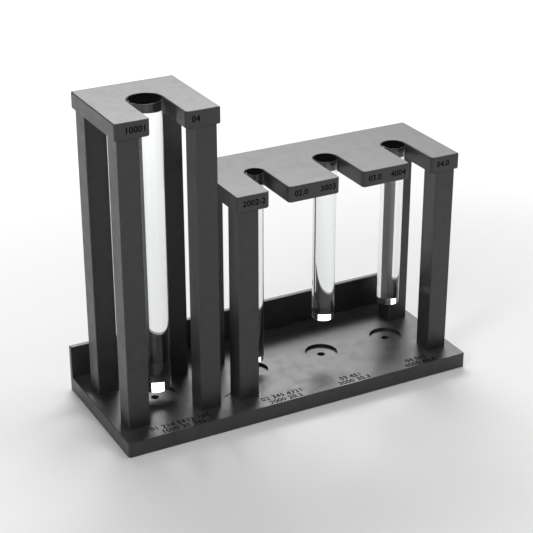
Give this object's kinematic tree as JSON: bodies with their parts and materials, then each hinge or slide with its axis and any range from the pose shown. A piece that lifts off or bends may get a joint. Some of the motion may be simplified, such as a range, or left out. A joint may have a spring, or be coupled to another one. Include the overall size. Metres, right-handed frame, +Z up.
{
  "type": "graduated cylinder drying rack",
  "caption": "Dark plastic bench rack: a tall square tower beside a lower plate, both on square posts, hold clear cylinders in slots open to the front, above drained recesses, before a low wall.",
  "frame": {"origin": "middle of the footprint on the surface the rack stands on, the bottom centre of its bounding box", "axes": "+X to the right along the front edge, +Y from the open front to the rear wall, +Z up"},
  "size_m": [0.3, 0.1172, 0.256],
  "materials": {
    "rack_plastic": "satin black moulded plastic",
    "screw_steel": "plain steel",
    "clear_glass": "clear, fire-polished ends"
  },
  "bodies": {
    "rack": {"base_plate": "rack_plastic", "rear_wall": "rack_plastic", "tower_plate": "rack_plastic", "low_plate": "rack_plastic", "tower_post_front_left": "rack_plastic", "tower_post_front_right": "rack_plastic", "tower_post_back_left": "rack_plastic", "tower_post_back_right": "rack_plastic", "low_post_front_left": "rack_plastic", "low_post_front_right": "rack_plastic", "low_post_back_left": "rack_plastic", "low_post_back_right": "rack_plastic", "foot_screws": "screw_steel", "wall_screws": "screw_steel"},
    "cylinder_wide": {"cylinder_wide": "clear_glass"},
    "cylinder_slim": {"cylinder_slim": "clear_glass"},
    "cylinder_middle": {"cylinder_middle": "clear_glass"},
    "cylinder_right": {"cylinder_right": "clear_glass"}
  },
  "joints": [
    {"name": "cylinder_wide_pull", "type": "slide", "parent": "rack", "child": "cylinder_wide", "axis": [0, -1, 0], "range_m": [0, 0.06]},
    {"name": "cylinder_slim_pull", "type": "slide", "parent": "rack", "child": "cylinder_slim", "axis": [0, -1, 0], "range_m": [0, 0.06]},
    {"name": "cylinder_middle_pull", "type": "slide", "parent": "rack", "child": "cylinder_middle", "axis": [0, -1, 0], "range_m": [0, 0.06]},
    {"name": "cylinder_right_pull", "type": "slide", "parent": "rack", "child": "cylinder_right", "axis": [0, -1, 0], "range_m": [0, 0.06]}
  ]
}
